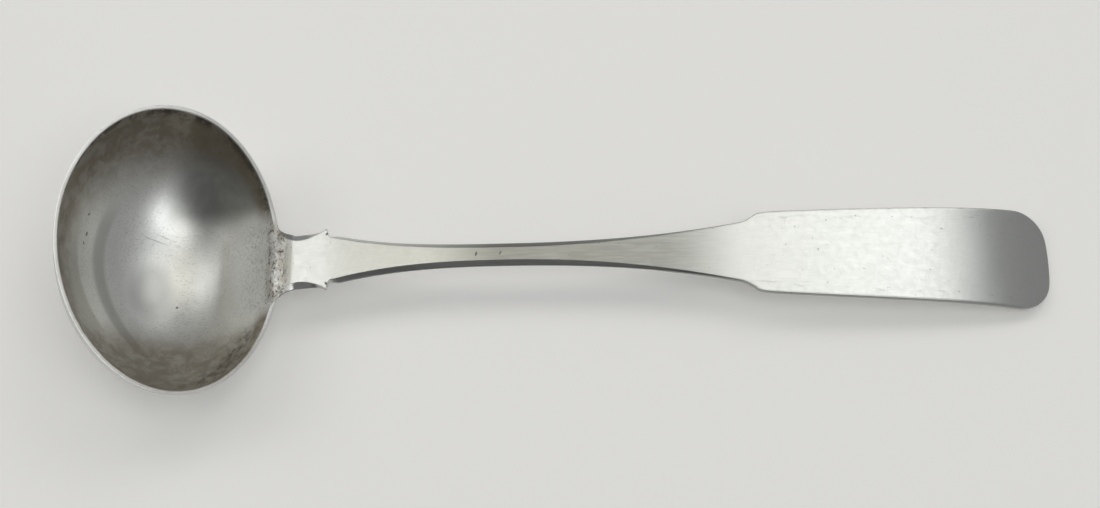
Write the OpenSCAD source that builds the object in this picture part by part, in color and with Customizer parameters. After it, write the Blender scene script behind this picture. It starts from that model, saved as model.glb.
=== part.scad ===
// Gravy ladle, forged and raised from one piece of silver.
// A deep oval bowl, a waisted neck with two pointed horns, a slim bevelled
// stem, and a fiddle blade with square shoulders and a turned-down end.
// X runs along the handle, Z is up, and the ladle lies as it comes to rest,
// on the bottom of its bowl and on the tip of its handle.

/* [Bowl] */
// Length of the bowl's oval rim, in line with the handle
bowl_len = 42.2; // [34:0.2:52]
// Width of the bowl's oval rim, across the handle
bowl_w = 56; // [44:0.2:68]
// Share by which the oval is wider toward the handle than an even one
bowl_egg = 0.035; // [0:0.005:0.06]
// Depth of the bowl below its rim, outside
bowl_depth = 18.6; // [14:0.2:26]
// Width of the flat land that is filed on the rim
rim_w = 0.7; // [0.5:0.05:1.4]
// Thickness of the metal at the bottom of the bowl
bowl_wall = 0.8; // [0.7:0.05:1.6]
// Fullness of the bowl's section, where 1 is an ellipse and less is fuller
bowl_fullness = 0.96; // [0.8:0.01:1.1]
// Degrees that the section stops short of upright, so that the wall leans out
wall_lean = 12; // [0:1:20]

/* [Neck] */
// Width of the neck where it runs into the rim
root_w = 13.6; // [11:0.2:17]
// Width of the flat top of the neck at its waist
waist_w = 8.2; // [6.4:0.1:9.6]
// Distance from the rim's oval to the crease where the handle's top begins
neck_out = 1.8; // [0.6:0.1:4]
// Height of the crease above the plane of the rim
neck_rise = 1.9; // [0.6:0.1:2.4]
// Angle of the handle's top above the plane of the rim, at the crease
neck_angle = 36.8; // [28:0.2:42]
// Thickness of the metal at the crease
neck_t = 2.9; // [2.4:0.1:4.4]
// Width of the bevel on each side of the neck, at its waist
waist_bevel = 1.2; // [0.8:0.05:1.6]
// Width of the same bevel where the neck runs into the rim
root_bevel = 0.6; // [0.3:0.05:0.8]
// Depth of the neck's bevels below its flat top
neck_side = 0.55; // [0.3:0.05:0.8]

/* [Horns] */
// Distance from the crease to the tips of the horns
horn_at = 6.1; // [5:0.1:9]
// Width across the tips of the two horns
horn_w = 11.8; // [10:0.1:14]
// Length of the notch that steps in behind each horn
notch_len = 1.2; // [0.6:0.1:1.8]
// Width of the flat top just behind the notches
notch_w = 8.2; // [7:0.1:9.6]
// Width of the bevel on each side of the stem, just behind the notches
notch_bevel = 0.8; // [0.5:0.05:1.2]
// Depth of the same bevel
notch_side = 0.95; // [0.5:0.05:1.2]

/* [Stem] */
// Length of the stem, from the horns to the shoulders of the blade
stem_len = 79; // [60:1:100]
// Distance from the horns to the slimmest place of the stem
slim_at = 34; // [26:1:46]
// Width of the flat top at the slimmest place
slim_w = 2.4; // [1.6:0.1:3.4]
// Width of the bevel on each side of the stem, at the slimmest place
slim_bevel = 1; // [0.6:0.05:1.5]
// Depth of the same bevel
slim_side = 0.6; // [0.4:0.05:0.9]
// Thickness of the stem at the slimmest place
stem_t = 2.3; // [2:0.1:3.6]

/* [Blade] */
// Length of the fiddle blade, from its shoulders to its end
blade_len = 55.2; // [44:0.2:66]
// Width across the shoulders of the blade
shoulder_w = 15.4; // [13:0.2:18]
// Width of the stem where it starts to open into the shoulders
shoulder_root_w = 11; // [9:0.2:12.4]
// Length of the hollow curve that opens into the shoulders
shoulder_len = 4.2; // [3:0.2:7]
// Width of the blade at its end, before the corners are rounded
blade_w = 19.8; // [16:0.2:24]
// Radius of the blade's two rounded corners
corner_r = 5.6; // [3:0.2:7]
// How far the middle of the blade's end stands out past its corners
end_crown = 1.2; // [0:0.1:2.5]
// Thickness of the blade
blade_t = 1.2; // [1:0.05:2]
// Width of the narrow bevel round the blade
blade_bevel = 0.15; // [0.05:0.05:0.3]
// Depth of the same bevel
blade_side = 0.25; // [0.1:0.05:0.4]

/* [Arch] */
// Length over which the neck bends down, from the crease
neck_curve = 10; // [6:1:16]
// Angle that the neck bends down through
neck_bend = 7; // [3:0.5:12]
// Angle that the long arch of the handle bends down through
arch_bend = 8; // [5:0.5:14]
// Length of the turned-down end of the handle
tip_len = 26; // [18:1:34]
// Angle that the end of the handle turns down through
tip_bend = 19.5; // [12:0.5:30]

/* [Hidden] */

// Faces of the loft: across the neck, round one side of the oval, along one
// side of the root, and from the bottom of the bowl to its rim
across = 10;
oval_steps = 28;
root_steps = 6;
rings = 15;

// Semi-axes of the rim's inner and outer edges, and of the bottom
out_a = bowl_len / 2;
out_b = bowl_w / 2;
in_a = out_a - rim_w;
in_b = out_b - rim_w;
in_depth = bowl_depth - bowl_wall;

// Angle up the bowl's section at which the outside begins to run into the
// neck, and the power with which it does
root_from = 58;
root_power = 2.2;
// The same for the inside, below the shoulder where the bowl meets the neck
shoulder_from = 56;
shoulder_power = 1.5;
// How far the middle of that shoulder stands into the bowl, and how far down
shoulder_in = 0.8;
shoulder_drop = 0.8;
// Power that sets the rings of the bowl closer together near the rim
ring_power = 1.3;

// Powers of the handle's outline: beside the neck, out to the horns, in to the
// slimmest place, out again, into the shoulders, and along the blade
root_hollow = 2.4;
horn_hollow = 1.7;
notch_hollow = 4;
taper_in = 2.8;
taper_out = 1.95;
shoulder_hollow = 1.7;
blade_flare = 0.8;
// Powers of the underside's section: round at the stem, near flat at the blade
neck_round = 0.8;
stem_round = 0.9;
shoulder_round = 0.3;
end_round = 0.25;
// Width of the bevel that is left at the horns' sharp tips
horn_bevel = 0.15;

// Share of the neck's thickness left at the horns, and of the blade's
// thickness at its shoulders and at its end
horn_thin = 0.9;
shoulder_thick = 1.15;
end_thin = 0.9;

// Lengths along the handle's top, from the crease
waist_at = horn_at * 0.22;
horn_end = horn_at + notch_len;
slim_s = horn_at + slim_at;
shoulder_at = horn_at + stem_len;
flare_at = shoulder_at - shoulder_len;
handle_len = shoulder_at + blade_len;
corner_at = handle_len - corner_r;

// Part of the turned-down end over which it turns gently, and the part of the
// bend that it does there
gentle_len = 0.45;
gentle_bend = 0.3;

// Smooth step from 0 to 1 as x goes from a to b
function ease(x, a, b) =
    let (t = min(1, max(0, (x - a) / (b - a)))) t * t * (3 - 2 * t);

// Value at x of a smooth line through the knots, each a place and a value
function through(x, knots, i = 0) =
    i >= len(knots) - 2 || x <= knots[i + 1][0]
        ? knots[i][1] + (knots[i + 1][1] - knots[i][1]) * ease(x, knots[i][0], knots[i + 1][0])
        : through(x, knots, i + 1);

// A number's power that keeps its sign
function signed_pow(x, p) = sign(x) * pow(abs(x), p);

// The handle's top line is a chain of arcs, each a length and a bend
tip_turn = tip_len * gentle_len;
arcs = [
    [neck_curve, neck_bend],
    [handle_len - neck_curve - tip_len, arch_bend],
    [tip_turn, tip_bend * gentle_bend],
    [tip_len - tip_turn, tip_bend * (1 - gentle_bend)]
];

// Point and angle on the chain of arcs at length s, as [x, z, angle]
function chain(s, from, i = 0) =
    let (
        last = i == len(arcs) - 1,
        run = last ? s : min(s, arcs[i][0]),
        bend = arcs[i][1] * run / arcs[i][0],
        chord = abs(bend) < 0.0001 ? run : run * sin(bend / 2) / (bend / 2 * PI / 180),
        way = from[2] - bend / 2,
        to = [from[0] + chord * cos(way), from[1] + chord * sin(way), from[2] - bend]
    )
    s <= arcs[i][0] || last ? to : chain(s - arcs[i][0], to, i + 1);

crease_x = out_a + neck_out;
function spine(s) = chain(s, [crease_x, neck_rise, neck_angle]);

// Value that goes from a to b as t goes from 0 to 1, with the power p
function from_to(a, b, t, p) = a + (b - a) * pow(max(0, t), p);

// Half the width of the handle's flat top at length s
function top_half(s) =
    s <= waist_at ? waist_w / 2
    : s <= horn_at
        ? from_to(waist_w / 2, horn_w / 2, (s - waist_at) / (horn_at - waist_at), horn_hollow)
    : s <= horn_end
        ? from_to(notch_w / 2, horn_w / 2, (horn_end - s) / notch_len, notch_hollow)
    : s <= slim_s
        ? from_to(slim_w / 2, notch_w / 2, (slim_s - s) / (slim_s - horn_end), taper_in)
    : s <= flare_at
        ? from_to(slim_w / 2, shoulder_root_w / 2, (s - slim_s) / (flare_at - slim_s), taper_out)
    : s <= shoulder_at
        ? from_to(shoulder_root_w / 2, shoulder_w / 2, (s - flare_at) / shoulder_len,
            shoulder_hollow)
    : blade_half(s) - corner_cut(s);

function blade_half(s) =
    from_to(shoulder_w / 2, blade_w / 2, (s - shoulder_at) / blade_len, blade_flare);
// What the rounded corner takes off the blade's half width at length s
function corner_cut(s) =
    s <= corner_at ? 0 : corner_r - sqrt(max(0, corner_r * corner_r - pow(s - corner_at, 2)));

function bevel(s) = through(s, [
    [0, waist_bevel], [waist_at, waist_bevel], [horn_at, horn_bevel],
    [horn_end + notch_len, notch_bevel], [slim_s, slim_bevel],
    [shoulder_at, blade_bevel], [handle_len, blade_bevel]
]);

function side_depth(s) = through(s, [
    [0, neck_side], [horn_at, neck_side], [horn_end + notch_len, notch_side],
    [slim_s, slim_side], [shoulder_at, blade_side], [handle_len, blade_side]
]);

function thickness(s) = through(s, [
    [0, neck_t], [horn_end, neck_t * horn_thin], [slim_s, stem_t],
    [shoulder_at, blade_t * shoulder_thick], [shoulder_at + blade_len / 3, blade_t],
    [handle_len, blade_t * end_thin]
]);

function under_power(s) = through(s, [
    [0, neck_round], [slim_s, stem_round], [shoulder_at, shoulder_round],
    [handle_len, end_round]
]);

// How far a point at the side of the blade falls back from its crowned end
function set_back(s, y) =
    end_crown * ease(s, shoulder_at, handle_len) * pow(y / (blade_w / 2), 2);

// Point of the handle at length s, y across and d below its top line
function on_handle(s, y, d) =
    let (p = spine(s - set_back(s, y)))
    [p[0] + d * sin(p[2]), y, p[1] - d * cos(p[2])];

// The two rows of points that go round the handle's section at length s
function top_row(s) = [
    for (j = [0 : across]) on_handle(s, top_half(s) * (1 - 2 * j / across), 0)
];

function under_row(s) =
    let (c = top_half(s) + bevel(s), h = side_depth(s), t = thickness(s), k = under_power(s))
    [for (j = [0 : across])
        let (f = 180 * j / across)
        on_handle(s, c * signed_pow(cos(f), k), h + (t - h) * pow(sin(f), k))];

// Places of the handle's rows, closer where its outline turns
stations = concat(
    [for (i = [1 : 3]) waist_at * i / 3],
    [for (i = [1 : 7]) waist_at + (horn_at - waist_at) * i / 7],
    [for (f = [0.12, 0.3, 0.6, 1]) horn_at + notch_len * f],
    [for (i = [1 : 14]) horn_end + (slim_s - horn_end) * pow(i / 14, 1.3)],
    [for (i = [1 : 14]) slim_s + (flare_at - slim_s) * i / 14],
    [for (i = [1 : 6]) flare_at + shoulder_len * i / 6],
    [for (i = [1 : 14]) shoulder_at + (corner_at - shoulder_at) * i / 14],
    [for (i = [1 : 8]) corner_at + corner_r * sin(90 * i / 8)]
);

// Share of the oval's half width b at its angle's cosine c, and the angle at
// which the root's half width y meets the oval
function egg(c) = 1 + bowl_egg * c;
function root_angle(y, b) = asin(y / (b * egg(1)));

// Half the width at the root, from the crease at f = 0 to the rim at f = 1
root_half = root_w / 2;
in_from = root_angle(root_half, in_b);
root_x = in_a * cos(in_from);
root_run = norm([crease_x - root_x, neck_rise]);
function root_edge(f) =
    let (t = (root_run * f + waist_at) / (root_run + waist_at))
    from_to(waist_w / 2, root_half, t, root_hollow);

// The neck's top has its own rows, from the shoulder at r = 0 to the crease
function neck_row(r) =
    let (f = 1 - r / root_steps)
    [for (j = [0 : across])
        let (v = 1 - 2 * j / across, mid = pow(1 - v * v, 1.5))
        [
            crease_x * (1 - f) + (root_x - shoulder_in * mid) * f,
            v * root_edge(f),
            neck_rise * (1 - f) - shoulder_drop * mid * pow(f, 3)
        ]];

// Outer edge along one side of the root, at f from the crease to the rim
out_root_y = root_half + root_bevel;
out_from = root_angle(out_root_y, out_b);
out_root_x = out_a * cos(out_from);
function root_low(f, side) =
    let (start = under_row(0)[0], g = ease(f, 0, 1))
    [
        start[0] + (out_root_x - start[0]) * f,
        side * (root_edge(f) + waist_bevel + (root_bevel - waist_bevel) * g),
        start[2] * (1 - g)
    ];

// Points round the oval, from the root on one side to the root on the other
function oval(a, b, from, i) =
    let (q = from + (360 - 2 * from) * i / (2 * oval_steps))
    [a * cos(q), b * egg(cos(q)) * sin(q), 0];

// The closed inner edge: across the shoulder, then round the oval
in_edge = concat(
    neck_row(0),
    [for (i = [1 : 2 * oval_steps - 1]) let (p = oval(in_a, in_b, in_from, i)) [p[0], -p[1], 0]]
);
// The closed outer edge: across under the crease, out along one root, round
// the oval, and back along the other root
out_edge = concat(
    under_row(0),
    [for (i = [1 : root_steps]) root_low(i / root_steps, -1)],
    [for (i = [1 : 2 * oval_steps - 1]) let (p = oval(out_a, out_b, out_from, i)) [p[0], -p[1], 0]],
    [for (i = [root_steps : -1 : 1]) root_low(i / root_steps, 1)]
);
in_count = len(in_edge);
out_count = len(out_edge);

// Angle up the bowl's section of ring i
function ring_angle(i) = 90 * (1 - pow(1 - i / rings, ring_power));

// The point of an oval in line with p, found in n steps, and a point of the
// wall below it: f is 0 at the bottom and 90 at the edge
function foot(p, a, b, c = 1, n = 5) =
    let (free = norm([p[0] / a, p[1] / (b * egg(c))]))
    n == 0 ? [p[0] / free, p[1] / free, 0] : foot(p, a, b, p[0] / a / free, n - 1);
function wall(q, depth, f) =
    let (
        u = f * (90 - wall_lean) / 90,
        out = pow(sin(u) / cos(wall_lean), bowl_fullness),
        fall = pow((cos(u) - sin(wall_lean)) / (1 - sin(wall_lean)), bowl_fullness)
    )
    [q[0] * out, q[1] * out, -depth * fall];

// A point of the wall that runs out from the oval to the point p of an edge
function run_out(p, a, b, depth, f, from, power) =
    let (q = foot(p, a, b), g = pow(max(0, (f - from) / (90 - from)), power))
    wall(q, depth, f) + (p - q) * g;

inner_wall = [for (i = [1 : rings - 1], p = in_edge)
    run_out(p, in_a, in_b, in_depth, ring_angle(i), shoulder_from, shoulder_power)];
outer_wall = [for (i = [1 : rings - 1], p = out_edge)
    run_out(p, out_a, out_b, bowl_depth, ring_angle(i), root_from, root_power)];

// All the points, in the frame of the rim: the two bottoms, the inner and
// outer walls, the two edges, and the rows of the neck and the handle
bowl_points = concat(
    [[0, 0, -in_depth], [0, 0, -bowl_depth]],
    inner_wall, in_edge,
    outer_wall, out_edge
);
drawn = concat(
    bowl_points,
    [for (r = [1 : root_steps]) each neck_row(r)],
    [for (s = stations) each concat(top_row(s), under_row(s))]
);

// Number of the point j round ring i of the inner or the outer wall
function inner(i, j) = 2 + (i - 1) * in_count + j % in_count;
function outer(i, j) = 2 + rings * in_count + (i - 1) * out_count + j % out_count;
// Number of the point j of the neck's row r
neck_from = 2 + rings * (in_count + out_count);
function neck(r, j) = r == 0 ? inner(rings, j) : neck_from + (r - 1) * (across + 1) + j;
// Number of the outer edge's point beside row r, on the far and the near side
round_to = across + root_steps + 2 * oval_steps;
function far_edge(r) = outer(rings, round_to + r);
function near_edge(r) = outer(rings, across + root_steps - r);
// Number of the point j of the top or the underside of the handle's row i
handle_from = neck_from + root_steps * (across + 1);
function top(i, j) =
    i == 0 ? neck(root_steps, j) : handle_from + (i - 1) * 2 * (across + 1) + j;
function under(i, j) =
    i == 0 ? outer(rings, j) : handle_from + (2 * i - 1) * (across + 1) + j;

// Two triangles on four points in order
function quad(p, q, r, s) = [[p, q, r], [p, r, s]];

rows = len(stations);
faces = concat(
    [for (j = [0 : in_count - 1]) [0, inner(1, j), inner(1, j + 1)]],
    [for (j = [0 : out_count - 1]) [1, outer(1, j + 1), outer(1, j)]],
    [for (i = [1 : rings - 1], j = [0 : in_count - 1])
        each quad(inner(i, j), inner(i + 1, j), inner(i + 1, j + 1), inner(i, j + 1))],
    [for (i = [1 : rings - 1], j = [0 : out_count - 1])
        each quad(outer(i, j), outer(i, j + 1), outer(i + 1, j + 1), outer(i + 1, j))],
    [for (k = [0 : 2 * oval_steps - 1])
        let (a = across + k, b = across + root_steps + k)
        each quad(inner(rings, a), outer(rings, b), outer(rings, b + 1), inner(rings, a + 1))],
    [for (r = [0 : root_steps - 1], j = [0 : across - 1])
        each quad(neck(r, j), neck(r + 1, j), neck(r + 1, j + 1), neck(r, j + 1))],
    [for (r = [0 : root_steps - 1])
        each quad(neck(r, 0), far_edge(r), far_edge(r + 1), neck(r + 1, 0))],
    [for (r = [0 : root_steps - 1])
        each quad(neck(r, across), neck(r + 1, across), near_edge(r + 1), near_edge(r))],
    [for (i = [0 : rows - 1], j = [0 : across - 1])
        each quad(top(i, j), top(i + 1, j), top(i + 1, j + 1), top(i, j + 1))],
    [for (i = [0 : rows - 1], j = [0 : across - 1])
        each quad(under(i, j), under(i, j + 1), under(i + 1, j + 1), under(i + 1, j))],
    [for (i = [0 : rows - 1])
        each quad(top(i, 0), under(i, 0), under(i + 1, 0), top(i + 1, 0))],
    [for (i = [0 : rows - 1])
        each quad(top(i, across), top(i + 1, across), under(i + 1, across), under(i, across))],
    [for (j = [0 : across - 1])
        each quad(top(rows, j), under(rows, j), under(rows, j + 1), top(rows, j + 1))]
);

// The ladle is turned about Y until its bowl and its tip stand equally low
function turned(p, q) = [p[0] * cos(q) + p[2] * sin(q), p[1], p[2] * cos(q) - p[0] * sin(q)];
function lowest(points, q) = min([for (p = points) turned(p, q)[2]]);
tip_edge = under_row(handle_len);
function rest_turn(low, high, n) =
    let (mid = (low + high) / 2)
    n == 0 ? mid
    : lowest(tip_edge, mid) > lowest(bowl_points, mid)
        ? rest_turn(mid, high, n - 1)
    : rest_turn(low, mid, n - 1);

module ladle() {
    turn = rest_turn(5, 60, 22);
    laid = [for (p = drawn) turned(p, turn)];
    xs = [for (p = laid) p[0]];
    mid_x = (min(xs) + max(xs)) / 2;
    floor_z = min([for (p = laid) p[2]]);
    color([0.74, 0.74, 0.72])
        polyhedron([for (p = laid) p - [mid_x, 0, floor_z]], faces, convexity = 10);
}

ladle();
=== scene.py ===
"""Gravy ladle in worn silver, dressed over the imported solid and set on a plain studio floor."""

import math
from types import SimpleNamespace

import bmesh
import bpy
import numpy as np
from bpy.props import FloatProperty, FloatVectorProperty, IntProperty, PointerProperty
from bpy.types import NodeSocket, Operator, Panel, PropertyGroup
from mathutils import Matrix, Vector


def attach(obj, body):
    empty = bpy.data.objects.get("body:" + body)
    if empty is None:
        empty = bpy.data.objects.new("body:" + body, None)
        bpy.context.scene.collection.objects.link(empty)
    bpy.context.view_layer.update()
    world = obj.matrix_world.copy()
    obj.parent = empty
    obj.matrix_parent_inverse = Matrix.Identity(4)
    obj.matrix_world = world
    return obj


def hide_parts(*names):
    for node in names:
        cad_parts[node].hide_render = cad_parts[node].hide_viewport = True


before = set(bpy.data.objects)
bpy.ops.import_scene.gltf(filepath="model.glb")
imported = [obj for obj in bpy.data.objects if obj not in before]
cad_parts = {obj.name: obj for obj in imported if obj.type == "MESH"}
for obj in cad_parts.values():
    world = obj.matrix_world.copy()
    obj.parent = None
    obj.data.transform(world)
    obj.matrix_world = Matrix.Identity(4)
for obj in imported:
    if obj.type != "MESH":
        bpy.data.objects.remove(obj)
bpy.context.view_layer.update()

bl_info = {
    "name": "Gravy Ladle",
    "version": (1, 0, 0),
    "blender": (4, 5, 0),
    "location": "View3D > Sidebar > Ladle",
    "description": "Finishes a packed gravy ladle in worn silver and lights it on a studio floor",
    "category": "Object",
}

SILVER_PIECE = "ladle_silver"
MM = 0.001

# Places along the ladle: the start of the handle, its horns, and the lip where bowl meets neck
HANDLE_START = -54 * MM
HORNS = -42 * MM
LIP_START = -66 * MM
LIP_END = -50.5 * MM
LIP_HALF = 10.5 * MM


# Sizes and colours that can be changed

class LadleSkinSettings(PropertyGroup):
    """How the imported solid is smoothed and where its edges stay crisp"""
    levels: IntProperty(
        name="Smoothing levels", description="Times that each face of the solid is divided in four",
        default=2, min=1, max=3)
    crisp_angle: FloatProperty(
        name="Crisp angle", description="Angle between two faces from which their edge stays crisp",
        default=math.radians(36), subtype='ANGLE')
    filed_angle: FloatProperty(
        name="Filed angle",
        description="The same for the long edges on top of the neck and the handle",
        default=math.radians(14), subtype='ANGLE')
    edge_wear: FloatProperty(
        name="Edge wear", description="Width to which use has rounded the crisp edges",
        default=0.14 * MM, unit='LENGTH', precision=6)
    pole_radius: FloatProperty(
        name="Dished middle", description="Radius round the bottom of the bowl that is evened out",
        default=5 * MM, unit='LENGTH', precision=5)
    lip_passes: IntProperty(
        name="Lip rounding", description="Times that the lip between bowl and neck is smoothed",
        default=160, min=0)
    bowl_shift: FloatProperty(
        name="Bowl shift", description="How far the hand-made bowl sits to one side of its handle",
        default=-0.33 * MM, unit='LENGTH', precision=6)


class SilverSettings(PropertyGroup):
    """Finish of the silver"""
    silver: FloatVectorProperty(
        name="Silver", description="Colour of the handle's metal",
        default=(0.70, 0.71, 0.685), subtype='COLOR', min=0, max=1)
    bowl_silver: FloatVectorProperty(
        name="Bowl silver", description="Colour of the bowl's metal, which is washed more often",
        default=(0.86, 0.865, 0.84), subtype='COLOR', min=0, max=1)
    rim_silver: FloatVectorProperty(
        name="Rim silver", description="Colour of the filed land on the rim, where hands polish it",
        default=(0.96, 0.95, 0.93), subtype='COLOR', min=0, max=1)
    # The patina colour is also painted as grey shade and dark reflections on the stem, the handle's
    # sides and tip, and in the bowl.
    patina: FloatVectorProperty(
        name="Patina", description="Colour of the grey tarnish that use leaves",
        default=(0.315, 0.32, 0.305), subtype='COLOR', min=0, max=1)
    # The brown colour is also painted as shade to the left of the reflected streak in the bowl.
    brown: FloatVectorProperty(
        name="Brown tarnish", description="Colour of the tarnish near the rim and on the neck",
        default=(0.26, 0.215, 0.155), subtype='COLOR', min=0, max=1)
    dirt: FloatVectorProperty(
        name="Dirt", description="Colour of the dark deposit in pits and nicks",
        default=(0.030, 0.022, 0.015), subtype='COLOR', min=0, max=1)
    rim_centre: FloatVectorProperty(
        name="Rim centre", description="Middle of the oval rim of the bowl",
        default=(-0.0703, 0.0, 0.0190), subtype='TRANSLATION', unit='LENGTH', precision=5)
    rim_pitch: FloatProperty(
        name="Rim pitch", description="Angle of the rim to the floor",
        default=math.radians(27.8), subtype='ANGLE')


class StudioSettings(PropertyGroup):
    """Camera, floor and lamps"""
    target: FloatVectorProperty(
        name="Target", description="Point that the camera looks at",
        default=(-0.0023, 0.00443, 0.0), subtype='TRANSLATION', unit='LENGTH', precision=5)
    distance: FloatProperty(
        name="Distance", description="Distance from the target to the camera",
        default=0.4309, unit='LENGTH', precision=4)
    tilt: FloatProperty(
        name="Tilt", description="Angle of the view off the vertical",
        default=math.radians(22.76), subtype='ANGLE')
    swing: FloatProperty(
        name="Swing", description="Angle of the view round the vertical",
        default=math.radians(1.99), subtype='ANGLE')
    roll: FloatProperty(
        name="Roll", description="Angle of the picture round the line of view",
        default=math.radians(-3.08), subtype='ANGLE')
    lens: FloatProperty(
        name="Lens", description="Focal length in millimetres on a sensor 36 mm wide",
        default=75.34)
    floor_colour: FloatVectorProperty(
        name="Floor", description="Colour of the floor",
        default=(0.93, 0.92, 0.90), subtype='COLOR', min=0, max=1)
    ceiling_colour: FloatVectorProperty(
        name="Ceiling", description="Colour of the dim ceiling of the studio",
        default=(0.085, 0.087, 0.09), subtype='COLOR', min=0, max=1)
    wall_colour: FloatVectorProperty(
        name="Walls", description="Colour of the pale walls of the studio",
        default=(0.28, 0.282, 0.286), subtype='COLOR', min=0, max=1)
    floor_size: FloatProperty(
        name="Floor size", description="Length of one side of the floor",
        default=4.0, unit='LENGTH')
    lamp_level: FloatProperty(
        name="Lamp level", description="Factor on the power of all lamps", default=1.0, min=0)
    floor_glow: FloatProperty(
        name="Floor glow", description="Light that the paper seems to give off, seen or mirrored",
        default=0.18, min=0)


# Mesh of the ladle

def squared_cage(solid):
    """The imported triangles, merged and joined in pairs to four-sided faces."""
    cage = bmesh.new()
    cage.from_mesh(solid.data)
    bmesh.ops.remove_doubles(cage, verts=cage.verts, dist=1e-6)
    bmesh.ops.join_triangles(
        cage, faces=cage.faces, angle_face_threshold=math.radians(50),
        angle_shape_threshold=math.radians(100), topology_influence=2.0)
    return cage


def poles(cage):
    """Place and direction of the points where many faces meet, at the bottom of the bowl."""
    return [(v.co.copy(), v.normal.copy()) for v in cage.verts if len(v.link_edges) > 20]


def is_crisp(edge, skin):
    """Tells whether the smith left this edge crisp."""
    turn = edge.calc_face_angle(0)
    if turn > skin.crisp_angle:
        return True
    run = edge.verts[1].co - edge.verts[0].co
    on_handle = min(v.co.x for v in edge.verts) > HANDLE_START
    on_top = all(f.normal.z > 0.3 for f in edge.link_faces)
    return on_handle and on_top and abs(run.x) > abs(run.y) and turn > skin.filed_angle


def smoothed(context, cage, skin):
    """A finer mesh of the cage, by Subdivision Surface, in which crisp edges stay."""
    crease = cage.edges.layers.float.new("crease_edge")
    for edge in cage.edges:
        edge[crease] = 1.0 if is_crisp(edge, skin) else 0.0
    mesh = bpy.data.meshes.new("cage")
    cage.to_mesh(mesh)
    block = bpy.data.objects.new("cage", mesh)
    context.scene.collection.objects.link(block)
    finer = block.modifiers.new("Smooth", 'SUBSURF')
    finer.levels = finer.render_levels = skin.levels
    fine = bmesh.new()
    fine.from_object(block, context.evaluated_depsgraph_get())
    bpy.data.objects.remove(block)
    bpy.data.meshes.remove(mesh)
    return fine


def ease(x, low, high):
    """Smooth step from 0 at low to 1 at high."""
    t = np.clip((x - low) / (high - low), 0, 1)
    return t * t * (3 - 2 * t)


def even_out_pole(fine, place, normal, radius):
    """Lays the points round a pole on one even dish, fitted to the wall round them."""
    side = normal.orthogonal().normalized()
    other = normal.cross(side)
    near = [
        v for v in fine.verts
        if (v.co - place).length < 2 * radius and v.normal.dot(normal) > 0.5]
    local = np.array([
        [(v.co - place).dot(axis) / radius for axis in (side, other, normal)] for v in near])
    u, w, height = local.T
    away = np.hypot(u, w)
    terms = np.stack([
        np.ones_like(u), u, w, u * u, u * w, w * w, away ** 4, u * away ** 2, w * away ** 2], 1)
    wall = away > 0.7
    dish = np.linalg.lstsq(terms[wall], height[wall], rcond=None)[0]
    share = 1 - ease(away, 0.7, 1.3)
    for v, lift in zip(near, (terms @ dish - height) * share * radius):
        v.co += normal * lift


def round_lip(fine, skin):
    """Rounds the lip over which the bowl flows into the neck."""
    fine.normal_update()
    lip = [
        v for v in fine.verts
        if LIP_START < v.co.x < LIP_END and abs(v.co.y) < LIP_HALF and v.normal.z > 0.02]
    before = [v.co.copy() for v in lip]
    for _ in range(skin.lip_passes):
        bmesh.ops.smooth_vert(
            fine, verts=lip, factor=0.5, use_axis_x=True, use_axis_y=True, use_axis_z=True)
    for v, place in zip(lip, before):
        share = (1 - ease(abs(place.y), 0.0055, 0.0095)) * ease(place.x, -0.0645, -0.0605)
        v.co = place.lerp(v.co, share * (1 - ease(place.x, -0.0525, -0.0508)))


def shift_bowl(fine, skin):
    """Moves the bowl a little to one side of its handle, as in hand work."""
    for v in fine.verts:
        v.co.y += skin.bowl_shift * ease(v.co.x, HORNS, HANDLE_START)


class LADLE_OT_skin(Operator):
    """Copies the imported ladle, smooths its surfaces and rounds its worn edges"""
    bl_idname = "ladle.skin"
    bl_label = "Ladle"
    bl_options = {'REGISTER', 'UNDO'}

    def execute(self, context):
        skin = context.scene.ladle_skin
        cage = squared_cage(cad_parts["ladle"])
        found = poles(cage)
        if len(found) != 2:
            raise RuntimeError("The solid should have one pole inside the bowl and one outside.")
        fine = smoothed(context, cage, skin)
        for place, normal in found:
            even_out_pole(fine, place, normal, skin.pole_radius)
        round_lip(fine, skin)
        shift_bowl(fine, skin)
        mesh = bpy.data.meshes.new(SILVER_PIECE)
        fine.to_mesh(mesh)
        cage.free()
        fine.free()
        mesh.shade_smooth()
        mesh.materials.append(worn_silver(context.scene.ladle_silver))
        piece = bpy.data.objects.new(SILVER_PIECE, mesh)
        context.scene.collection.objects.link(piece)
        wear = piece.modifiers.new("Worn edges", 'BEVEL')
        wear.width = skin.edge_wear
        wear.segments = 2
        wear.limit_method = 'ANGLE'
        wear.angle_limit = math.radians(12)
        wear.harden_normals = True
        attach(piece, "root")
        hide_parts("ladle")
        return {'FINISHED'}


# Small helpers for node trees

def put(tree, kind, inputs=None, **options):
    """Adds a node. An input gets a value, or the output that feeds it."""
    made = tree.nodes.new(kind)
    for name, value in options.items():
        setattr(made, name, value)
    for key, value in (inputs or {}).items():
        if isinstance(value, NodeSocket):
            tree.links.new(value, made.inputs[key])
        else:
            made.inputs[key].default_value = value
    return made


def calc(tree, operation, *values):
    """Output of a Math node."""
    return put(tree, "ShaderNodeMath", dict(enumerate(values)), operation=operation).outputs[0]


def span(tree, value, low, high, start=0.0, end=1.0):
    """Smooth step of a value, from start at low to end at high."""
    ramp = put(tree, "ShaderNodeMapRange", {
        "Value": value, "From Min": low, "From Max": high, "To Min": start, "To Max": end,
    }, interpolation_type='SMOOTHSTEP')
    return ramp.outputs["Result"]


def band(tree, value, low, high, soft):
    """1 where a value lies between low and high, with soft ends."""
    rise = span(tree, value, low - soft, low + soft)
    fall = span(tree, value, high - soft, high + soft, 1.0, 0.0)
    return calc(tree, 'MULTIPLY', rise, fall)


def product(tree, *shares):
    """Product of several shares."""
    result = shares[0]
    for share in shares[1:]:
        result = calc(tree, 'MULTIPLY', result, share)
    return result


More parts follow.
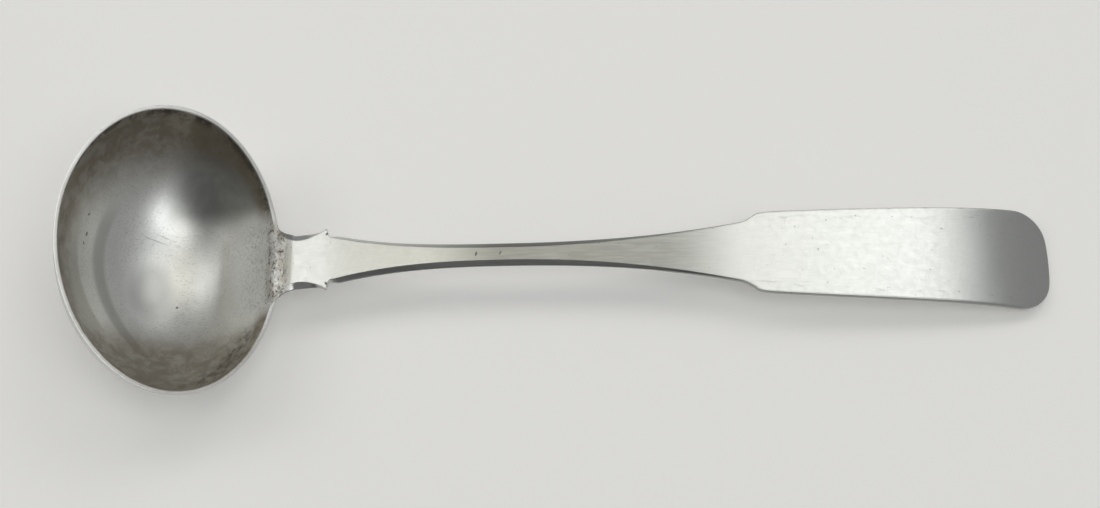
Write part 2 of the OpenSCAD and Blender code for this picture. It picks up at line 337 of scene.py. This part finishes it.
def most(tree, *shares):
    """Largest of several shares."""
    result = shares[0]
    for share in shares[1:]:
        result = calc(tree, 'MAXIMUM', result, share)
    return result


def tint(tree, share, below, above):
    """Colour that goes from below to above with a share."""
    mix = put(tree, "ShaderNodeMix", data_type='RGBA')
    for number, value in ((0, share), (6, below), (7, above)):
        if isinstance(value, NodeSocket):
            tree.links.new(value, mix.inputs[number])
        else:
            mix.inputs[number].default_value = value if number == 0 else (*value[:3], 1)
    return mix.outputs[2]


def placed(tree, vector, place=(0, 0, 0), turn=(0, 0, 0), size=(1, 1, 1)):
    """Vector seen from a frame that has this place, turn and size."""
    mapping = put(tree, "ShaderNodeMapping", {
        "Vector": vector, "Location": place, "Rotation": turn, "Scale": size,
    }, vector_type='TEXTURE')
    return mapping.outputs[0]


def grain(tree, vector, scale, detail=2.0, rough=0.5, twist=0.0):
    """Value of a noise with this many grains to the millimetre."""
    noise = put(tree, "ShaderNodeTexNoise", {
        "Vector": vector, "Scale": scale, "Detail": detail, "Roughness": rough, "Distortion": twist})
    return noise.outputs["Fac"]


def new_group(name, inputs, outputs):
    """Empty node group with named inputs, each with its default, and named values as outputs."""
    group = bpy.data.node_groups.new(name, 'ShaderNodeTree')
    for socket, default in inputs:
        kind = 'NodeSocketVector' if default is None else 'NodeSocketFloat'
        made = group.interface.new_socket(socket, in_out='INPUT', socket_type=kind)
        if default is not None:
            made.default_value = default
    for socket in outputs:
        group.interface.new_socket(socket, in_out='OUTPUT', socket_type='NodeSocketFloat')
    source = group.nodes.new("NodeGroupInput").outputs
    result = group.nodes.new("NodeGroupOutput").inputs
    return group, source, result


def use_group(tree, group, **inputs):
    """Places a node group in a tree and returns its outputs."""
    return put(tree, "ShaderNodeGroup", inputs, node_tree=group).outputs


# Effects that the silver is made of

def scratches_group():
    """Fine lines that run a few ways, longer than they are wide and broken here and there."""
    group, source, result = new_group(
        "Fine Scratches", [("Vector", None), ("Fineness", 1.0), ("Thinness", 0.03)], ["Lines"])
    layers = []
    for turn, stretch in ((0.25, 24.0), (-0.5, 20.0), (1.3, 16.0)):
        along = placed(group, source["Vector"], turn=(0, 0, turn), size=(stretch, 1, 1))
        wave = grain(group, along, source["Fineness"], detail=0.0)
        off = calc(group, 'ABSOLUTE', calc(group, 'SUBTRACT', wave, 0.5))
        line = span(group, off, 0.0, source["Thinness"], 1.0, 0.0)
        gaps = span(group, wave, 0.46, 0.54, 0.3, 1.0)
        layers.append(product(group, line, gaps))
    group.links.new(most(group, *layers), result["Lines"])
    return group


def clouds_group():
    """Soft patches of tarnish with ragged edges."""
    group, source, result = new_group(
        "Tarnish Clouds", [("Vector", None), ("Fineness", 0.2), ("Cover", 0.5), ("Softness", 0.15)],
        ["Cover"])
    noise = grain(group, source["Vector"], source["Fineness"], detail=6.0, rough=0.62, twist=0.4)
    middle = calc(group, 'SUBTRACT', 1.0, source["Cover"])
    low = calc(group, 'SUBTRACT', middle, source["Softness"])
    high = calc(group, 'ADD', middle, source["Softness"])
    group.links.new(span(group, noise, low, high), result["Cover"])
    return group


def pits_group():
    """Small round pits, scattered and of many sizes."""
    group, source, result = new_group(
        "Pits", [("Vector", None), ("Fineness", 1.0), ("Density", 0.3)], ["Pits"])
    cells = put(group, "ShaderNodeTexVoronoi", {
        "Vector": source["Vector"], "Scale": source["Fineness"], "Randomness": 1.0})
    chance = put(group, "ShaderNodeSeparateColor", {"Color": cells.outputs["Color"]}).outputs
    kept = calc(group, 'LESS_THAN', chance["Red"], source["Density"])
    reach = calc(group, 'MULTIPLY_ADD', chance["Green"], 0.26, 0.08)
    inner = calc(group, 'MULTIPLY', reach, 0.35)
    dot = span(group, cells.outputs["Distance"], inner, reach, 1.0, 0.0)
    group.links.new(product(group, dot, kept), result["Pits"])
    return group


# Dark nicks and smudges that show on the ladle. Each has its place from above in
# millimetres, its half length and half width, its turn in degrees and its darkness.
MARKS = (
    # Nicks on the stem, and dirt in the notches of the horns
    (-15.6, 0.0, 0.5, 0.2, 75, 0.7),
    (-11.2, 0.1, 0.45, 0.16, 60, 0.6),
    (-42.9, 4.9, 0.4, 0.25, 50, 0.7),
    (-42.9, -4.9, 0.4, 0.25, -50, 0.7),
    # Nicks at the left of the bowl, then a pit and two scratches in its middle
    (-86.4, 8.8, 0.35, 0.1, 70, 0.6),
    (-86.8, 5.3, 0.5, 0.12, 80, 0.7),
    (-87.2, 3.4, 0.4, 0.1, 95, 0.6),
    (-71.6, -5.3, 0.28, 0.24, 20, 0.8),
    (-76.0, 7.6, 2.6, 0.1, -15, 0.35),
    (-74.5, 8.4, 2.0, 0.08, -20, 0.3),
)


def marks(tree, vector):
    """Share of darkness from the nicks and smudges, on a vector in millimetres."""
    shares = []
    for x, y, length, width, turn, darkness in MARKS:
        local = placed(
            tree, vector, place=(x, y, 0), turn=(0, 0, math.radians(turn)), size=(length, width, 1e6))
        away = put(tree, "ShaderNodeVectorMath", {0: local}, operation='LENGTH').outputs["Value"]
        shares.append(span(tree, away, 0.5, 1.2, darkness, 0.0))
    return most(tree, *shares)


# Where the finish changes, in millimetres: along the ladle, and in the frame of the rim.
NECK_START = -52.5
NECK_SLOPE = (-54.2, -50.4)
NECK_FOOT = (-50.7, -49.4)
PITTED_NECK = (-54.4, -50.3)
STEM = (-19.0, 27.0)
BLADE = (32.0, 84.0)
TURNED_DOWN = (64.0, 86.0)
# Middle and reach, in the frame of the rim, of a patch of painted shade that dims the lamp's glow in
# the bottom of the bowl.
DIMMED_GLOW_MIDDLE = (2.2, -2.2, -17.2)
DIMMED_GLOW_REACH = (5.5, 7.5, 8.0)
# Curve of the lamp's reflected streak on the left wall of the bowl, beside which shade is painted.
STREAK_MIDDLE = (-11.3, 3.0)
STREAK_BEND = 0.025


def parts_of(tree, vector):
    """The three parts of a vector."""
    return list(put(tree, "ShaderNodeSeparateXYZ", {0: vector}).outputs)


def places(tree, finish):
    """Where a point lies, in millimetres, and the parts of the ladle that it belongs to."""
    coordinates = put(tree, "ShaderNodeTexCoord").outputs
    normal = coordinates["Normal"]
    in_mm = (MM, MM, MM)
    at = SimpleNamespace()
    at.whole = placed(tree, coordinates["Object"], size=in_mm)
    at.rim = placed(
        tree, coordinates["Object"], place=finish.rim_centre, turn=(0, finish.rim_pitch, 0),
        size=in_mm)
    at.x, y, _ = parts_of(tree, at.whole)
    at.side = calc(tree, 'ABSOLUTE', y)
    at.rim_x, at.rim_y, rim_z = parts_of(tree, at.rim)
    at.rim_side = calc(tree, 'ABSOLUTE', at.rim_y)
    at.below = calc(tree, 'MULTIPLY', rim_z, -1.0)
    _, sideways, upward = parts_of(tree, normal)
    at.lean = calc(tree, 'ABSOLUTE', sideways)
    at.in_bowl = span(tree, at.x, NECK_START - 1.0, NECK_START + 1.0, 1.0, 0.0)
    at.on_handle = calc(tree, 'SUBTRACT', 1.0, at.in_bowl)
    at.on_top = product(tree, at.on_handle, span(tree, upward, 0.0, 0.3))
    from_centre = placed(tree, coordinates["Object"], place=finish.rim_centre, size=in_mm)
    outward = put(
        tree, "ShaderNodeVectorMath", {0: from_centre, 1: normal}, operation='DOT_PRODUCT')
    at.inside = product(
        tree, at.in_bowl, span(tree, outward.outputs["Value"], -2.0, 2.0, 1.0, 0.0))
    at.land = product(tree, at.in_bowl, band(tree, at.below, -0.6, 0.2, 0.1))
    at.off_neck = calc(tree, 'SUBTRACT', 1.0, product(
        tree, span(tree, at.rim_x, 13.0, 17.5), span(tree, at.rim_side, 7.0, 12.0, 1.0, 0.0)))
    return at


def add_clouds(tree, at):
    """Adds three kinds of clouds to the places: soft ones, fine ones and ragged ones."""
    clouds = clouds_group()
    at.soft = use_group(
        tree, clouds, Vector=at.whole, Fineness=0.11, Cover=0.5, Softness=0.2)["Cover"]
    at.fine = use_group(
        tree, clouds, Vector=at.whole, Fineness=0.9, Cover=0.5, Softness=0.25)["Cover"]
    at.ragged = use_group(
        tree, clouds, Vector=at.whole, Fineness=0.35, Cover=0.52, Softness=0.16)["Cover"]


def add_streak(tree, at):
    """Adds the curve of the reflected streak at the left of the bowl, beside which shade is painted:
    how far off it is, and where it shows.
    """
    middle_x, middle_y = STREAK_MIDDLE
    off_middle = calc(tree, 'SUBTRACT', at.rim_y, middle_y)
    bent = calc(
        tree, 'MULTIPLY_ADD', product(tree, off_middle, off_middle), STREAK_BEND, middle_x)
    at.from_streak = calc(tree, 'SUBTRACT', at.rim_x, bent)
    at.along_streak = product(tree, at.inside, band(tree, at.rim_y, -17.0, 11.0, 4.0))


def patina_and_painted_shade(tree, at):
    """Grey patina, thin everywhere, and grey painted shade: thick on the stem and on the far side of
    the bowl as painted dark reflections, on the leaning sides and turned-down tip of the handle, in a
    patch that dims the lamp's glow in the bottom of the bowl, and beside the reflected streak.
    """
    brushed = grain(tree, placed(tree, at.whole, size=(14, 1, 1)), 2.2, detail=2.0, rough=0.6)
    pepper = grain(tree, placed(tree, at.whole, size=(2, 1, 1)), 3.2, detail=2.0, rough=0.7)
    streaky = grain(tree, placed(tree, at.whole, size=(5, 1, 1)), 0.9, detail=4.0, rough=0.65)
    # Painted dark reflection: a thick band of patina colour, with brushed grain, darkens the stem.
    stem = product(tree, band(tree, at.x, *STEM, 9.0), span(tree, brushed, 0.2, 0.7, 0.8, 1.0))
    # Painted shade: patina colour that darkens the turned-down tip of the handle.
    tip = span(tree, at.x, *TURNED_DOWN)
    # Painted shade: a soft patch of patina colour that dims the lamp's glow in the bottom of the
    # bowl.
    off_middle = put(tree, "ShaderNodeVectorMath", {
        0: placed(tree, at.rim, place=DIMMED_GLOW_MIDDLE, size=DIMMED_GLOW_REACH)}, operation='LENGTH')
    middle = span(tree, off_middle.outputs["Value"], 0.4, 1.1, 0.6, 0.0)
    # Painted shade: a band of patina colour to the right of the reflected streak, to set the streak
    # off.
    painted_shade_right_of_streak = product(tree, at.along_streak, band(tree, at.from_streak, 1.5, 4.2, 0.8))
    # Painted dark reflection: a patch of patina colour on the far side of the bowl's inside.
    painted_dark_reflection = product(
        tree, at.inside, span(tree, at.rim_x, 1.0, 8.0), span(tree, at.rim_y, 8.5, 13.5),
        span(tree, at.soft, 0.0, 1.0, 0.8, 1.0))
    blade_half = calc(tree, 'MULTIPLY_ADD', at.x, 0.038, 6.4)
    from_edge = calc(tree, 'SUBTRACT', blade_half, at.side)
    smudges = product(
        tree, band(tree, from_edge, 0.8, 2.2, 0.6), band(tree, at.x, *BLADE, 3.0),
        span(tree, streaky, 0.52, 0.68, 0.0, 0.4))
    # Painted shade: patina colour that darkens the handle's faces that lean to the side, stronger
    # from the neck towards the stem.
    painted_bevel_shade = product(
        tree, at.on_handle, span(tree, at.lean, 0.25, 0.6),
        span(tree, at.x, -46.0, -12.0, 0.35, 0.85))
    return most(
        tree, stem, middle, smudges, painted_bevel_shade,
        product(tree, tip, 0.2),
        product(tree, painted_dark_reflection, 0.95),
        product(tree, painted_shade_right_of_streak, 0.55),
        product(tree, at.in_bowl, at.soft, 0.18),
        product(tree, at.fine, 0.10),
        product(tree, at.inside, span(tree, pepper, 0.48, 0.66), 0.30),
        product(tree, band(tree, at.x, *NECK_FOOT, 0.3), 0.6),
        product(tree, at.on_handle, span(tree, brushed, 0.35, 0.65), 0.10))


def brown_share(tree, at):
    """Brown tarnish: a deep band inside the rim, the near wall and the slope of the neck; and brown
    painted shade to the left of the reflected streak.
    """
    reach = span(tree, at.rim_x, -2.0, 17.0, 13.5, 4.0)
    depth = calc(tree, 'DIVIDE', at.below, reach)
    rim_band = product(
        tree, at.inside, at.off_neck, span(tree, at.below, 0.15, 0.4),
        span(tree, depth, 0.5, 1.25, 1.0, 0.0), span(tree, at.ragged, 0.0, 1.0, 0.75, 1.0))
    near_wall = product(
        tree, at.inside, span(tree, at.rim_y, -9.0, -16.0),
        span(tree, at.ragged, 0.0, 1.0, 0.6, 0.9))
    neck = product(
        tree, band(tree, at.x, *NECK_SLOPE, 0.7), span(tree, at.side, 6.5, 9.0, 1.0, 0.0),
        span(tree, at.ragged, 0.1, 0.9, 0.2, 0.6))
    # Painted shade: a band of brown colour to the left of the reflected streak, to set the streak
    # off.
    painted_shade_left_of_streak = product(tree, at.along_streak, span(tree, at.from_streak, -0.9, -2.4))
    return most(tree, rim_band, near_wall, neck, product(tree, painted_shade_left_of_streak, 0.5))


def add_pits(tree, at):
    """Adds pits: a dense speckle at the neck, and small ones here and there."""
    at.small_pits = use_group(
        tree, pits_group(), Vector=at.whole, Fineness=2.2, Density=0.04)["Pits"]
    oblong = placed(tree, at.whole, size=(1.0, 1.7, 1.0))
    thick = span(tree, grain(tree, oblong, 2.3, detail=3.0, rough=0.7), 0.5, 0.64)
    pitted = most(
        tree, band(tree, at.x, *PITTED_NECK, 0.7),
        product(tree, band(tree, at.x, -59.0, -54.0, 1.5), 0.4))
    at.speckle = product(
        tree, thick, pitted, span(tree, at.ragged, 0.0, 1.0, 0.5, 1.0),
        span(tree, at.side, 7.0, 10.0, 1.0, 0.0))


def dirt_share(tree, at):
    """Dark deposit in pits and nicks, close under the rim and low at the near wall."""
    nicks = product(tree, marks(tree, at.whole), most(tree, at.inside, at.on_top))
    under_rim = product(
        tree, at.inside, at.off_neck, span(tree, at.below, 0.1, 0.3),
        span(tree, at.below, 0.5, 2.6, 1.0, 0.0), span(tree, at.ragged, 0.2, 0.9),
        span(tree, at.rim_y, -8.0, 4.0, 0.25, 1.0))
    low_spots = product(
        tree, at.inside, span(tree, at.rim_x, 5.0, 10.0), span(tree, at.rim_y, -10.0, -15.0),
        band(tree, at.below, 2.2, 6.4, 1.2), span(tree, at.ragged, 0.15, 0.7),
        span(tree, at.fine, 0.2, 0.9))
    return most(
        tree, nicks, product(tree, at.speckle, 0.8), product(tree, at.small_pits, 0.4),
        product(tree, under_rim, 0.75), product(tree, low_spots, 0.6))


def relief(tree, at):
    """Height in millimetres: hand-raised unevenness, grain and pits."""
    uneven = grain(tree, at.whole, 0.13, detail=0.0)
    pebbled = grain(tree, at.whole, 2.6, detail=2.0, rough=0.7)
    depth = calc(tree, 'MULTIPLY_ADD', at.in_bowl, 0.011, 0.003)
    height = calc(tree, 'MULTIPLY_ADD', pebbled, depth, product(tree, uneven, 0.03))
    return calc(tree, 'MULTIPLY_ADD', most(tree, at.speckle, at.small_pits), -0.025, height)


def worn_silver(finish):
    """Hand-worn satin silver: scratches, grey patina, brown tarnish, pits, and dirt in nicks, with
    grey and brown painted shade and painted dark reflections.
    """
    material = bpy.data.materials.new("Worn Silver")
    material.use_nodes = True
    tree = material.node_tree
    shader = tree.nodes["Principled BSDF"]
    at = places(tree, finish)
    add_clouds(tree, at)
    add_streak(tree, at)
    add_pits(tree, at)
    brown = brown_share(tree, at)
    dirt = dirt_share(tree, at)
    lines = use_group(
        tree, scratches_group(), Vector=at.whole, Fineness=1.6, Thinness=0.05)["Lines"]

    colour = tint(tree, at.inside, finish.silver, finish.bowl_silver)
    colour = tint(tree, at.land, colour, finish.rim_silver)
    # Grey patina, together with grey painted shade and painted dark reflections.
    colour = tint(tree, patina_and_painted_shade(tree, at), colour, finish.patina)
    # Brown tarnish, together with brown painted shade beside the reflected streak.
    colour = tint(tree, product(tree, brown, 0.85), colour, finish.brown)
    colour = tint(tree, product(tree, lines, 0.10), colour, finish.patina)
    colour = tint(tree, dirt, colour, finish.dirt)
    tree.links.new(colour, shader.inputs["Base Color"])

    rough = calc(tree, 'MULTIPLY_ADD', brown, 0.14, 0.28)
    rough = calc(tree, 'MULTIPLY_ADD', at.in_bowl, 0.07, rough)
    rough = calc(tree, 'MULTIPLY_ADD', at.fine, 0.05, rough)
    rough = calc(tree, 'MULTIPLY_ADD', dirt, 0.3, rough)
    tree.links.new(rough, shader.inputs["Roughness"])

    frosted = product(
        tree, at.inside, span(tree, at.rim_x, 14.0, 17.5),
        span(tree, at.rim_side, 8.0, 13.0, 1.0, 0.0))
    dull = most(tree, product(tree, dirt, 0.7), product(tree, frosted, 0.55))
    tree.links.new(calc(tree, 'SUBTRACT', 1.0, dull), shader.inputs["Metallic"])

    bump = put(tree, "ShaderNodeBump", {"Height": relief(tree, at), "Distance": MM, "Strength": 1.0})
    tree.links.new(bump.outputs[0], shader.inputs["Normal"])
    return material


def floor_paper(studio):
    """Plain matt paper, a little paler to the eye and in mirrors than its lamps make it."""
    material = bpy.data.materials.new("Floor Paper")
    material.use_nodes = True
    tree = material.node_tree
    shader = tree.nodes["Principled BSDF"]
    path = put(tree, "ShaderNodeLightPath").outputs
    seen = most(tree, path["Is Camera Ray"], path["Is Glossy Ray"], path["Is Transmission Ray"])
    tree.links.new(product(tree, seen, studio.floor_glow), shader.inputs["Emission Strength"])
    shader.inputs["Emission Color"].default_value = (*studio.floor_colour, 1)
    shader.inputs["Base Color"].default_value = (*studio.floor_colour, 1)
    shader.inputs["Roughness"].default_value = 0.9
    shader.inputs["Specular IOR Level"].default_value = 0.2
    return material


DARK_WALL = Vector((-0.22, -0.97, 0.0))


def studio_room(studio):
    """Dim ceiling over paler walls, of which the one behind the camera is dark low down."""
    world = bpy.data.worlds.new("Studio Room")
    world.use_nodes = True
    tree = world.node_tree
    way = put(tree, "ShaderNodeTexCoord").outputs["Generated"]
    front = put(tree, "ShaderNodeVectorMath", {0: way, 1: DARK_WALL}, operation='DOT_PRODUCT')
    up = put(tree, "ShaderNodeSeparateXYZ", {0: way}).outputs[2]
    walls = span(tree, up, 0.86, 0.6)
    dark_wall = product(tree, span(tree, front.outputs["Value"], 0.4, 0.8), span(tree, up, 0.6, 0.45))
    share = product(tree, walls, span(tree, dark_wall, 0.0, 1.0, 1.0, 0.06))
    colour = tint(tree, share, studio.ceiling_colour, studio.wall_colour)
    tree.links.new(colour, tree.nodes["Background"].inputs["Color"])
    return world


# Stage

def camera_place(studio):
    """Matrix of a camera that looks at the target as the photograph does."""
    back = Vector((
        math.sin(studio.tilt) * math.sin(studio.swing),
        -math.sin(studio.tilt) * math.cos(studio.swing),
        math.cos(studio.tilt)))
    level = Vector((0, 0, 1)).cross(back).normalized()
    right = Matrix.Rotation(studio.roll, 3, back) @ level
    turned = Matrix((right, back.cross(right), back)).transposed()
    return Matrix.Translation(Vector(studio.target) + studio.distance * back) @ turned.to_4x4()


# Soft lamps. Each has a name, its height and heading as seen from the ladle in
# degrees, its width and height in metres, its power and its colour.
COOL = (0.97, 0.99, 1.0)
PLAIN = (1.0, 1.0, 0.97)
WARM = (1.0, 0.96, 0.82)
LAMPS = (
    ("Key", 57, 56, (0.40, 0.36), 0.50, PLAIN),
    ("Right", 56, 33, (0.30, 0.30), 0.14, COOL),
    ("High right", 68, 15, (0.30, 0.30), 0.11, COOL),
    ("Front right", 62, 320, (0.32, 0.32), 0.62, COOL),
    ("Top", 80, 275, (0.30, 0.30), 0.52, PLAIN),
    ("Back", 71, 98, (0.26, 0.26), 0.25, WARM),
    ("Back left", 58, 140, (0.34, 0.30), 0.42, PLAIN),
    ("Left", 38, 168, (0.36, 0.42), 0.60, PLAIN),
)
LAMP_DISTANCE = 0.8


def add_lamp(context, level, name, height, heading, size, power, colour):
    """A soft panel that faces the ladle."""
    lamp = bpy.data.lights.new(name, 'AREA')
    lamp.shape = 'ELLIPSE'
    lamp.size, lamp.size_y = size
    lamp.energy = power * level
    lamp.color = colour
    panel = bpy.data.objects.new(name, lamp)
    rise, turn = math.radians(height), math.radians(heading)
    toward = Vector((
        math.cos(rise) * math.cos(turn), math.cos(rise) * math.sin(turn), math.sin(rise)))
    panel.location = toward * LAMP_DISTANCE
    panel.rotation_euler = toward.to_track_quat('Z', 'Y').to_euler()
    context.scene.collection.objects.link(panel)


class LADLE_OT_stage(Operator):
    """Sets the ladle on a pale floor under soft lamps and points the camera at it"""
    bl_idname = "ladle.stage"
    bl_label = "Studio"
    bl_options = {'REGISTER', 'UNDO'}

    def execute(self, context):
        scene = context.scene
        studio = scene.ladle_studio
        mesh = bpy.data.meshes.new("floor")
        paper = bmesh.new()
        bmesh.ops.create_grid(paper, x_segments=1, y_segments=1, size=studio.floor_size / 2)
        paper.to_mesh(mesh)
        paper.free()
        mesh.materials.append(floor_paper(studio))
        floor = bpy.data.objects.new("floor", mesh)
        scene.collection.objects.link(floor)
        for lamp in LAMPS:
            add_lamp(context, studio.lamp_level, *lamp)
        scene.world = studio_room(studio)
        view = bpy.data.cameras.new("Camera")
        view.sensor_fit = 'HORIZONTAL'
        view.sensor_width = 36
        view.lens = studio.lens
        camera = bpy.data.objects.new("Camera", view)
        camera.matrix_world = camera_place(studio)
        scene.collection.objects.link(camera)
        scene.camera = camera
        scene.view_settings.view_transform = 'Standard'
        return {'FINISHED'}


class LADLE_PT_workshop(Panel):
    """Steps of the ladle, with their settings"""
    bl_label = "Gravy Ladle"
    bl_space_type = 'VIEW_3D'
    bl_region_type = 'UI'
    bl_category = "Ladle"

    def draw(self, context):
        scene = context.scene
        steps = (
            (LADLE_OT_skin, (scene.ladle_skin, scene.ladle_silver)),
            (LADLE_OT_stage, (scene.ladle_studio,)),
        )
        for step, groups in steps:
            box = self.layout.box()
            box.operator(step.bl_idname)
            for group in groups:
                for name in group.__annotations__:
                    box.prop(group, name)


CLASSES = (
    LadleSkinSettings, SilverSettings, StudioSettings,
    LADLE_OT_skin, LADLE_OT_stage, LADLE_PT_workshop,
)


def register():
    for item in CLASSES:
        bpy.utils.register_class(item)
    bpy.types.Scene.ladle_skin = PointerProperty(type=LadleSkinSettings)
    bpy.types.Scene.ladle_silver = PointerProperty(type=SilverSettings)
    bpy.types.Scene.ladle_studio = PointerProperty(type=StudioSettings)


def unregister():
    del bpy.types.Scene.ladle_studio
    del bpy.types.Scene.ladle_silver
    del bpy.types.Scene.ladle_skin
    for item in reversed(CLASSES):
        bpy.utils.unregister_class(item)


def main():
    register()
    bpy.ops.ladle.skin()
    bpy.ops.ladle.stage()
    bpy.context.view_layer.update()


if __name__ == "__main__":
    main()
